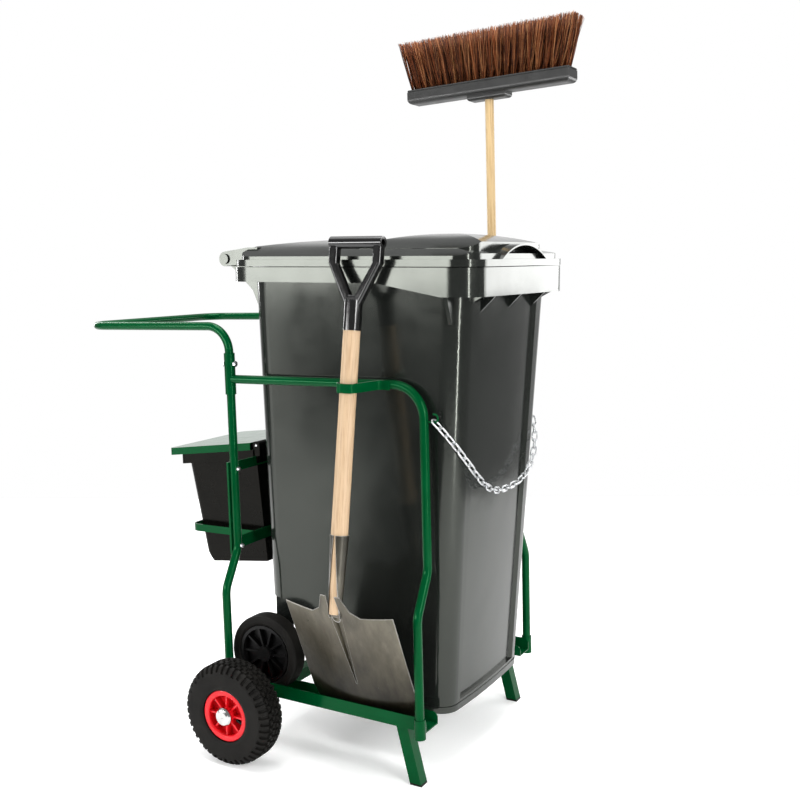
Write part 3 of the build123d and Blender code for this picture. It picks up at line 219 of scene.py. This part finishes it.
def ramp(tree, factor, stops):
    """Colours along a factor, from stops of place and colour."""
    node = add(tree, "ShaderNodeValToRGB", {"Fac": factor})
    elements = node.color_ramp.elements
    while len(elements) < len(stops):
        elements.new(0.5)
    for element, (place, colour) in zip(elements, stops):
        element.position = place
        element.color = (*colour, 1.0)
    return node.outputs["Color"]


def spread(tree, value, low, high, start=0.3, end=0.7):
    """A value that goes from low to high as another goes from start to end."""
    inputs = {"Value": value, "From Min": start, "From Max": end, "To Min": low, "To Max": high}
    return add(tree, "ShaderNodeMapRange", inputs).outputs["Result"]


def rise(tree, value, start, end):
    return spread(tree, value, 0.0, 1.0, start, end)


def fall(tree, value, start, end):
    return spread(tree, value, 1.0, 0.0, start, end)


def product(tree, first, second):
    node = add(tree, "ShaderNodeMath", {0: first, 1: second}, operation="MULTIPLY")
    return node.outputs["Value"]


def dot_product(tree, first, second):
    node = add(tree, "ShaderNodeVectorMath", {0: first, 1: second}, operation="DOT_PRODUCT")
    return node.outputs["Value"]


def height_of(tree, vector):
    return add(tree, "ShaderNodeSeparateXYZ", {"Vector": vector}).outputs["Z"]


def mix_colour(tree, first, second, factor=1.0, blend="MIX"):
    inputs = {"Factor": factor, MIX_FIRST: first, MIX_SECOND: second}
    node = add(tree, "ShaderNodeMix", inputs, data_type="RGBA", blend_type=blend)
    return node.outputs[MIX_RESULT]


def bump(tree, height, strength, distance, under=None):
    """Normals of a bumpy surface, laid over the normals of another one where it is given."""
    inputs = {"Height": height, "Strength": strength, "Distance": distance}
    if under:
        inputs["Normal"] = under
    return add(tree, "ShaderNodeBump", inputs).outputs["Normal"]


def edge_wear(tree, radius, low, high):
    """One within a small radius of a sharp edge, and zero elsewhere."""
    rounded = add(tree, "ShaderNodeBevel", {"Radius": radius}, samples=6).outputs["Normal"]
    normal = add(tree, "ShaderNodeNewGeometry").outputs["Normal"]
    return fall(tree, dot_product(tree, rounded, normal), low, high)


# Materials
def plain(name, dark, light, rough, metallic=0.0, cloud=9.0, grain=900.0, grain_depth=0.00004,
          coat=0.0, specular=0.5, tint=WHITE, wave=None):
    """A moulded, painted or cast surface: cloudy colour, uneven gloss and fine grain.

    A wave is the scale and depth of a slow unevenness under the grain.
    """
    material, tree, shader = new_material(name)
    vector = coordinates(tree)
    clouds = noise(tree, vector, scale=cloud, detail=5.0, roughness=0.55)
    smudges = noise(tree, vector, scale=cloud * 4.0, detail=6.0, roughness=0.6)
    fine = noise(tree, vector, scale=grain, detail=2.0)
    under = None
    if wave:
        wave_scale, wave_depth = wave
        slow = noise(tree, vector, scale=wave_scale, detail=1.0, roughness=0.4)
        under = bump(tree, slow, strength=1.0, distance=wave_depth)
    fill(tree, shader, {
        "Base Color": ramp(tree, clouds, [(0.3, dark), (0.7, light)]),
        "Roughness": spread(tree, smudges, *rough),
        "Metallic": metallic,
        "Specular IOR Level": specular,
        "Specular Tint": tint,
        "Coat Weight": coat,
        "Coat Roughness": COAT_ROUGHNESS,
        "Normal": bump(tree, fine, strength=0.35, distance=grain_depth, under=under),
    })
    return material


def wood(name, pale, deep, along):
    """Straight-grained turned wood; along is the shaft's direction."""
    material, tree, shader = new_material(name)
    turn = Vector((0, 0, 1)).rotation_difference(along).to_matrix().inverted().to_euler()
    turned = add(tree, "ShaderNodeMapping", {"Vector": object_place(tree), "Rotation": turn})
    stretched = add(tree, "ShaderNodeMapping",
                    {"Vector": turned.outputs["Vector"], "Scale": WOOD_STRETCH})
    vector = stretched.outputs["Vector"]
    grain = noise(tree, vector, scale=260.0, detail=8.0, roughness=0.65)
    bright = tuple(part * WOOD_BRIGHTEST for part in pale)
    streaks = ramp(tree, grain, [(0.34, deep), (0.52, pale), (0.75, bright)])
    broad = noise(tree, vector, scale=22.0, detail=3.0)
    shade = ramp(tree, broad, [(0.3, (0.86, 0.83, 0.78)), (0.65, WHITE)])
    fill(tree, shader, {
        "Base Color": mix_colour(tree, streaks, shade, blend="MULTIPLY"),
        "Roughness": spread(tree, grain, low=0.42, high=0.62),
        "Normal": bump(tree, grain, strength=0.25, distance=0.0002),
    })
    return material


def blade_steel(name):
    """Rolled steel under brown lacquer: soft streaks, worn edges, and tones that vary upwards."""
    material, tree, shader = new_material(name)
    vector = coordinates(tree, STREAK_STRETCH)
    streaks = noise(tree, vector, scale=16.0, detail=6.0, roughness=0.6)
    lacquer = ramp(tree, streaks, [(0.28, (0.085, 0.077, 0.060)), (0.55, (0.185, 0.170, 0.136)),
                                   (0.8, (0.32, 0.30, 0.25))])
    patches = noise(tree, vector, scale=14.0, roughness=0.6)
    height = height_of(tree, object_place(tree))
    ragged = add(tree, "ShaderNodeMath", {0: patches, 1: BLADE_TONE_RAGGED, 2: height},
                 operation="MULTIPLY_ADD")
    level = rise(tree, ragged.outputs["Value"], *BLADE_TONE_HEIGHTS)
    # Tone by noisy height: darker at the blade's foot, pale in a band higher up, darker again near the
    # top
    shade = ramp(tree, level, [(0.15, (0.10, 0.088, 0.067)), (0.36, (0.34, 0.32, 0.27)),
                               (0.54, (0.66, 0.64, 0.59)), (0.66, (0.76, 0.75, 0.71)),
                               (0.77, (0.32, 0.32, 0.31)), (1.0, (0.24, 0.24, 0.23))])
    toned_lacquer = mix_colour(tree, lacquer, shade, blend="MULTIPLY")
    wear = edge_wear(tree, radius=0.003, low=0.75, high=0.97)
    scuffs = noise(tree, coordinates(tree, SCUFF_STRETCH), scale=120.0, detail=5.0, roughness=0.7)
    fill(tree, shader, {
        "Base Color": mix_colour(tree, toned_lacquer, WORN_STEEL, factor=wear),
        "Roughness": spread(tree, scuffs, low=0.26, high=0.46),
        "Metallic": 0.75,
        "Coat Weight": 0.25,
        "Coat Roughness": 0.2,
        "Normal": bump(tree, scuffs, strength=0.2, distance=0.0002),
    })
    return material


def bristle_fibre(name):
    """Coarse brown fibre, each strand its own shade from dark to rust."""
    material, tree, shader = new_material(name)
    strand = add(tree, "ShaderNodeNewGeometry").outputs["Random Per Island"]
    colour = ramp(tree, strand, [(0.0, (0.018, 0.006, 0.003)), (0.4, (0.080, 0.023, 0.008)),
                                 (0.78, (0.25, 0.066, 0.020)), (1.0, (0.44, 0.20, 0.080))])
    patches = noise(tree, coordinates(tree), scale=90.0, detail=3.0, roughness=0.6)
    shade = ramp(tree, patches, [(0.3, (0.72, 0.72, 0.72)), (0.7, WHITE)])
    fill(tree, shader, {
        "Base Color": mix_colour(tree, colour, shade, blend="MULTIPLY"),
        "Roughness": 0.55,
        "Specular IOR Level": 0.15,
    })
    return material


green = plain("green_paint", (0.0, 0.043, 0.0110), (0.0, 0.060, 0.0165), (0.10, 0.17), cloud=7.0,
              grain=150.0, grain_depth=0.00001, specular=0.18, tint=(0.25, 1.0, 0.45))
bin_grey = plain("bin_grey", (0.0085, 0.0098, 0.0088), (0.0125, 0.0142, 0.0128), (0.12, 0.19),
                 cloud=3.0, grain=1500.0, grain_depth=0.00003, tint=(0.95, 1.0, 0.90),
                 wave=(7.0, 0.0012))
black = plain("black_plastic", (0.0025, 0.0024, 0.0021), (0.0055, 0.0052, 0.0045), (0.12, 0.22),
              cloud=12.0, specular=0.14, tint=(1.0, 0.97, 0.88))
box_black = plain("box_black", (0.0020, 0.0019, 0.0016), (0.0042, 0.0040, 0.0034), (0.12, 0.22),
                  cloud=12.0, specular=0.075, tint=(1.0, 0.97, 0.88))
grip_black = plain("grip_black", (0.002, 0.002, 0.002), (0.005, 0.005, 0.005), (0.10, 0.18),
                   cloud=14.0, coat=0.4)
hub_black = plain("hub_black", (0.0020, 0.0020, 0.0020), (0.0040, 0.0040, 0.0040), (0.28, 0.42),
                  cloud=15.0, specular=0.2)
rubber = plain("tyre_rubber", (0.0045, 0.0042, 0.0036), (0.0095, 0.0088, 0.0076), (0.50, 0.68),
               cloud=18.0, grain=700.0, grain_depth=0.0002, specular=0.11)
red = plain("red_rim", (0.62, 0.008, 0.014), (0.80, 0.013, 0.022), (0.16, 0.26), cloud=14.0,
            coat=0.1, specular=0.25)
zinc = plain("zinc", (0.50, 0.51, 0.52), (0.74, 0.75, 0.76), (0.20, 0.38), metallic=1.0,
             cloud=60.0, grain=800.0)
chrome = plain("chrome_cap", (0.48, 0.48, 0.47), (0.62, 0.62, 0.60), (0.10, 0.20), metallic=1.0,
               cloud=40.0)
bush_steel = plain("bush_steel", (0.30, 0.30, 0.31), (0.46, 0.46, 0.47), (0.26, 0.42),
                   metallic=1.0, cloud=40.0)
block_grey = plain("block_grey", (0.014, 0.0142, 0.0138), (0.024, 0.0242, 0.0235), (0.30, 0.45),
                   cloud=10.0)
shaft_wood = wood("shaft_wood", (0.54, 0.385, 0.240), (0.42, 0.275, 0.155), shovel_along)
stick_wood = wood("stick_wood", (0.60, 0.435, 0.225), (0.46, 0.31, 0.14), broom_along)
steel = blade_steel("blade_steel")
fibre = bristle_fibre("bristle_fibre")

FINISHES = (
    (green, ("right_rail", "left_rail", "post_collars", "right_leg", "left_leg", "axle_beam",
             "front_cross_bar", "right_side_tube", "left_side_tube", "right_rear_post",
             "left_rear_post", "right_sleeve", "left_sleeve", "push_handle", "holder_uprights",
             "holder_upper_bar", "holder_lower_bar", "holder_strap", "shovel_strap",
             "broom_strap", "chain_hooks", "litter_lid")),
    (zinc, ("axle", "axle_spacers", "sleeve_bolts", "holder_bolts", "chain", "bin_axle",
            "litter_hinge_pin")),
    (bush_steel, ("right_wheel_bush", "left_wheel_bush")),
    (chrome, ("axle_caps",)),
    (rubber, ("right_wheel_tyre", "left_wheel_tyre", "right_bin_tyre", "left_bin_tyre")),
    (red, ("right_wheel_rim", "left_wheel_rim")),
    (black, ("right_wheel_valve", "left_wheel_valve", "leg_caps")),
    (bin_grey, ("bin_body", "bin_lid", "bin_hinge_pins")),
    (hub_black, ("right_bin_hub", "left_bin_hub")),
    (box_black, ("litter_box",)),
    (block_grey, ("broom_block",)),
    (fibre, ("broom_bristles",)),
    (shaft_wood, ("shovel_shaft",)),
    (stick_wood, ("broom_stick",)),
    (steel, ("shovel_blade",)),
    (grip_black, ("shovel_grip",)),
)
finish = {name: material for material, names in FINISHES for name in names}
for name, node in nodes.items():
    node.data.materials.clear()
    node.data.materials.append(finish[name])


# Meshes
def mesh_object(mesh, material):
    mesh.materials.append(material)
    piece = bpy.data.objects.new(mesh.name, mesh)
    bpy.context.scene.collection.objects.link(piece)
    return piece


def mesh_piece(name, verts, faces, material, smooth):
    mesh = bpy.data.meshes.new(name)
    mesh.from_pydata(verts, [], faces)
    mesh.validate()
    mesh.polygons.foreach_set("use_smooth", [smooth] * len(mesh.polygons))
    return mesh_object(mesh, material)


def join_rings(faces, first, second, count):
    """Add the faces between two rings of points, each known by its first point's index."""
    for index in range(count):
        following = (index + 1) % count
        faces.append((first + index, first + following, second + following, second + index))


# Pneumatic tyres with a block tread
def tyre_profile():
    """Points round the section: radius, y offset, outward direction's radius part and y part."""
    bead_y = TYRE_HALF_WIDTH - TYRE_BEAD
    bead_r = TYRE_BEAD_SEAT + TYRE_BEAD
    crown_y = TYRE_HALF_WIDTH - TYRE_SHOULDER
    crown_r = TYRE_RADIUS - TYRE_SHOULDER
    points = [(radius, -RIM_LIP_BACK, -1.0, 0.0) for radius in (TYRE_SEAT, RIM_LIP_RADIUS)]
    start = asin((bead_r - RIM_LIP_RADIUS) / TYRE_BEAD)
    for step in range(BEAD_STEPS + 1):
        angle = start * (1 - step / BEAD_STEPS)
        points.append((bead_r - TYRE_BEAD * sin(angle), -bead_y - TYRE_BEAD * cos(angle),
                       -sin(angle), -cos(angle)))
    for step in range(1, WALL_STEPS):
        radius = bead_r + (crown_r - bead_r) * step / WALL_STEPS
        points.append((radius, -TYRE_HALF_WIDTH, 0.0, -1.0))
    for step in range(SHOULDER_STEPS + 1):
        angle = pi / 2 * step / SHOULDER_STEPS
        points.append((crown_r + TYRE_SHOULDER * sin(angle), -crown_y - TYRE_SHOULDER * cos(angle),
                       sin(angle), -cos(angle)))
    for step in range(1, CROWN_STEPS):
        points.append((TYRE_RADIUS, -crown_y + crown_y * step / CROWN_STEPS, 1.0, 0.0))
    mirrored = [(r, -y, out_r, -out_y) for r, y, out_r, out_y in reversed(points)]
    points.append((TYRE_RADIUS, 0.0, 1.0, 0.0))
    return points + mirrored


def tread_dip(y, out_r, turn):
    """Depth of the groove at a place on the tyre, zero on a block and past the tread's end."""
    place = turn * TREAD_PITCHES / (2 * pi) + (TREAD_STAGGER if y > 0 else 0.0)
    if out_r < TREAD_ENDS[int(place) % 2]:
        return 0.0
    zigzag = 4 * abs(place % 1.0 - 0.5) - 1
    side = abs(y) / TYRE_HALF_WIDTH + TREAD_WAVE * zigzag
    if any(low < side < high for low, high in TREAD_GROOVES):
        return TREAD_DEPTH
    middle_row = TREAD_GROOVES[1][1] <= side <= TREAD_GROOVES[2][0]
    shift = TREAD_ROW_SHIFT if middle_row else 0.0
    gap = SHOULDER_GAP if side > TREAD_GROOVES[2][1] else CROWN_GAP
    return TREAD_DEPTH if (place + shift) % 1.0 < gap else 0.0


def make_tyre(name, side):
    profile = tyre_profile()
    count = len(profile)
    steps = TREAD_PITCHES * TREAD_STEPS
    verts = []
    faces = []
    for step in range(steps):
        turn = 2 * pi * step / steps
        for r, y, out_r, out_y in profile:
            dip = tread_dip(y, out_r, turn)
            radius = r - dip * out_r
            verts.append((AXLE_X + radius * cos(turn), side * WHEEL_Y + y - dip * out_y,
                          AXLE_Z + radius * sin(turn)))
        join_rings(faces, step * count, (step + 1) % steps * count, count)
    return mesh_piece(name, verts, faces, rubber, smooth=False)


for side, word in ((-1, "right"), (1, "left")):
    tyre = make_tyre(word + "_block_tyre", side)
    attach(tyre, word + "_wheel")
    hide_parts(word + "_wheel_tyre")


# Broom bristles: tufts of curved strands over the backing slice
def add_strand(verts, faces, root, tip, bow, length, roll):
    """Add a thin tapered rod; its root, tip and the bow of its middle are measured across the broom."""
    first = len(verts)
    for level in range(STRAND_LEVELS):
        share = level / (STRAND_LEVELS - 1)
        swell = 4 * share * (1 - share)
        x, y = (low + (high - low) * share + bend * swell for low, high, bend in zip(root, tip, bow))
        z = BRISTLE_ROOT + length * share
        centre = BROOM_FOOT + broom_across * x + broom_aside * y + broom_along * z
        thin = STRAND_RADIUS * (1.0 - STRAND_TAPER * share)
        for corner in range(STRAND_SIDES):
            angle = 2 * pi * corner / STRAND_SIDES + roll
            verts.append(centre + broom_across * (thin * cos(angle))
                         + broom_aside * (thin * sin(angle)))
    last = first + STRAND_SIDES * (STRAND_LEVELS - 1)
    for ring in range(first, last, STRAND_SIDES):
        join_rings(faces, ring, ring + STRAND_SIDES, STRAND_SIDES)
    faces.append(tuple(range(last, last + STRAND_SIDES)))
    faces.append(tuple(reversed(range(first, first + STRAND_SIDES))))


def make_bristles():
    draw = random.Random(BRISTLE_SEED)
    last_place = TUFT_COLUMNS - 1 + TUFT_ROW_STAGGER
    verts = []
    faces = []
    for row in range(TUFT_ROWS):
        y = BRISTLE_ROW_HALF * (2.0 * row / (TUFT_ROWS - 1) - 1.0)
        flare_y = BRISTLE_FLARE_Y * y / BRISTLE_ROW_HALF
        for column in range(TUFT_COLUMNS):
            place = column + TUFT_ROW_STAGGER * (row % 2)
            x = BRISTLE_HALF * (2.0 * place / last_place - 1.0)
            flare_x = BRISTLE_FLARE_X * x / BRISTLE_HALF
            for _ in range(STRANDS_PER_TUFT):
                roll = draw.uniform(0, 2 * pi)
                reach = TUFT_RADIUS * sqrt(draw.random())
                off_x = reach * cos(roll)
                off_y = reach * sin(roll)
                tip_x = x + off_x * TUFT_SPREAD + flare_x + draw.gauss(0, STRAND_STRAY_X)
                tip_x = max(-TIP_LIMIT, min(TIP_LIMIT, tip_x))
                tip_y = y + off_y * TUFT_SPREAD + flare_y + draw.gauss(0, STRAND_STRAY_Y)
                length = BRISTLE_LENGTH - abs(draw.gauss(0, STRAND_SHORTFALL))
                bow_x = draw.gauss(0, STRAND_BOW)
                bow_y = draw.gauss(0, STRAND_BOW)
                add_strand(verts, faces, (x + off_x, y + off_y), (tip_x, tip_y), (bow_x, bow_y),
                           length, roll)
    return mesh_piece("bristles", verts, faces, fibre, smooth=True)


bristles = make_bristles()
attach(bristles, "broom")
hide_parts("broom_bristles")


# Slice of backing that the bristles' solid carries, made again because the strands replace it
def make_backing():
    mesh = bpy.data.meshes.new("bristle_backing")
    shape = bmesh.new()
    bmesh.ops.create_cube(shape, size=1.0)
    bmesh.ops.scale(shape, vec=BACKING_SIZE, verts=shape.verts)
    bmesh.ops.bevel(shape, geom=shape.edges[:], offset=BACKING_EDGE, segments=BACKING_EDGE_STEPS,
                    affect="EDGES")
    shape.to_mesh(mesh)
    shape.free()
    centre = BROOM_FOOT + broom_along * BACKING_PLACE
    turn = Matrix((broom_across, broom_aside, broom_along)).transposed().to_4x4()
    mesh.transform(Matrix.Translation(centre) @ turn)
    return mesh_object(mesh, block_grey)


backing = make_backing()
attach(backing, "broom")


# Floor
def pale_floor():
    """White paper that glows a little for the camera, with a dark part that only other rays see."""
    material, tree, shader = new_material("pale_floor")
    clouds = noise(tree, coordinates(tree), scale=FLOOR_CLOUD)
    paper = ramp(tree, clouds, [(0.3, FLOOR_DARK), (0.7, FLOOR_LIGHT)])
    place = add(tree, "ShaderNodeNewGeometry").outputs["Position"]
    seen = add(tree, "ShaderNodeLightPath").outputs["Is Camera Ray"]
    slant = aside * SHADE_SLANT[0] + ahead * SHADE_SLANT[1]
    shade = fall(tree, seen, 0.0, 1.0)
    shade = product(tree, shade, fall(tree, dot_product(tree, place, aside), *SHADE_SIDE))
    shade = product(tree, shade, rise(tree, dot_product(tree, place, slant), *SHADE_LINE))
    fill(tree, shader, {
        "Base Color": mix_colour(tree, paper, FLOOR_SHADE, factor=shade),
        "Roughness": FLOOR_ROUGHNESS,
        "Emission Color": WHITE,
        "Emission Strength": spread(tree, seen, 0.0, FLOOR_GLOW, 0.0, 1.0),
    })
    return material


floor_corners = [aside * x + ahead * y for x, y in FLOOR_CORNERS]
floor = mesh_piece("floor", floor_corners, [(0, 1, 2, 3)], pale_floor(), smooth=False)


# Light
def studio_world():
    """White for the camera; for other rays a grey studio, a white backdrop and a bright ceiling."""
    world = bpy.data.worlds.new("studio")
    world.use_nodes = True
    tree = world.node_tree
    ray = add(tree, "ShaderNodeTexCoord").outputs["Generated"]
    facing = dot_product(tree, ray, ahead)
    height = height_of(tree, ray)
    backdrop = product(tree, rise(tree, facing, *BACKDROP_AHEAD),
                       fall(tree, height, *BACKDROP_TOP))
    overhead = product(tree, rise(tree, height, *OVERHEAD_FROM),
                       rise(tree, facing, *OVERHEAD_AHEAD))
    seen = add(tree, "ShaderNodeLightPath").outputs["Is Camera Ray"]
    sky = ramp(tree, backdrop, [(0.0, STUDIO_GREY), (1.0, WHITE)])
    sky = mix_colour(tree, sky, OVERHEAD_WHITE, factor=overhead)
    sky = mix_colour(tree, sky, WHITE, factor=seen)
    fill(tree, tree.nodes["Background"], {"Color": sky, "Strength": 1.0})
    return world


def area_light(name, place, target, size, power):
    light = bpy.data.lights.new(name, "AREA")
    light.shape = "RECTANGLE"
    light.size, light.size_y = size
    light.energy = power
    lamp = bpy.data.objects.new(name, light)
    lamp.location = place
    lamp.rotation_euler = (Vector(target) - Vector(place)).to_track_quat("-Z", "Y").to_euler()
    lamp.visible_camera = False
    bpy.context.scene.collection.objects.link(lamp)


bpy.context.scene.world = studio_world()
for light_values in LIGHTS:
    area_light(*light_values)

# Camera
forward = ahead * cos(CAMERA_PITCH) + Vector((0.0, 0.0, sin(CAMERA_PITCH)))
upright = aside.cross(forward)
right = aside * cos(CAMERA_ROLL) + upright * sin(CAMERA_ROLL)
up = upright * cos(CAMERA_ROLL) - aside * sin(CAMERA_ROLL)
camera_data = bpy.data.cameras.new("camera")
camera_data.sensor_fit = "HORIZONTAL"
camera_data.sensor_width = CAMERA_SENSOR
camera_data.lens = CAMERA_LENS
camera = bpy.data.objects.new("camera", camera_data)
camera_turn = Matrix((right, up, -forward)).transposed().to_4x4()
camera.matrix_world = Matrix.Translation(CAMERA_PLACE) @ camera_turn
bpy.context.scene.collection.objects.link(camera)
bpy.context.scene.camera = camera
bpy.context.scene.view_settings.view_transform = "Standard"
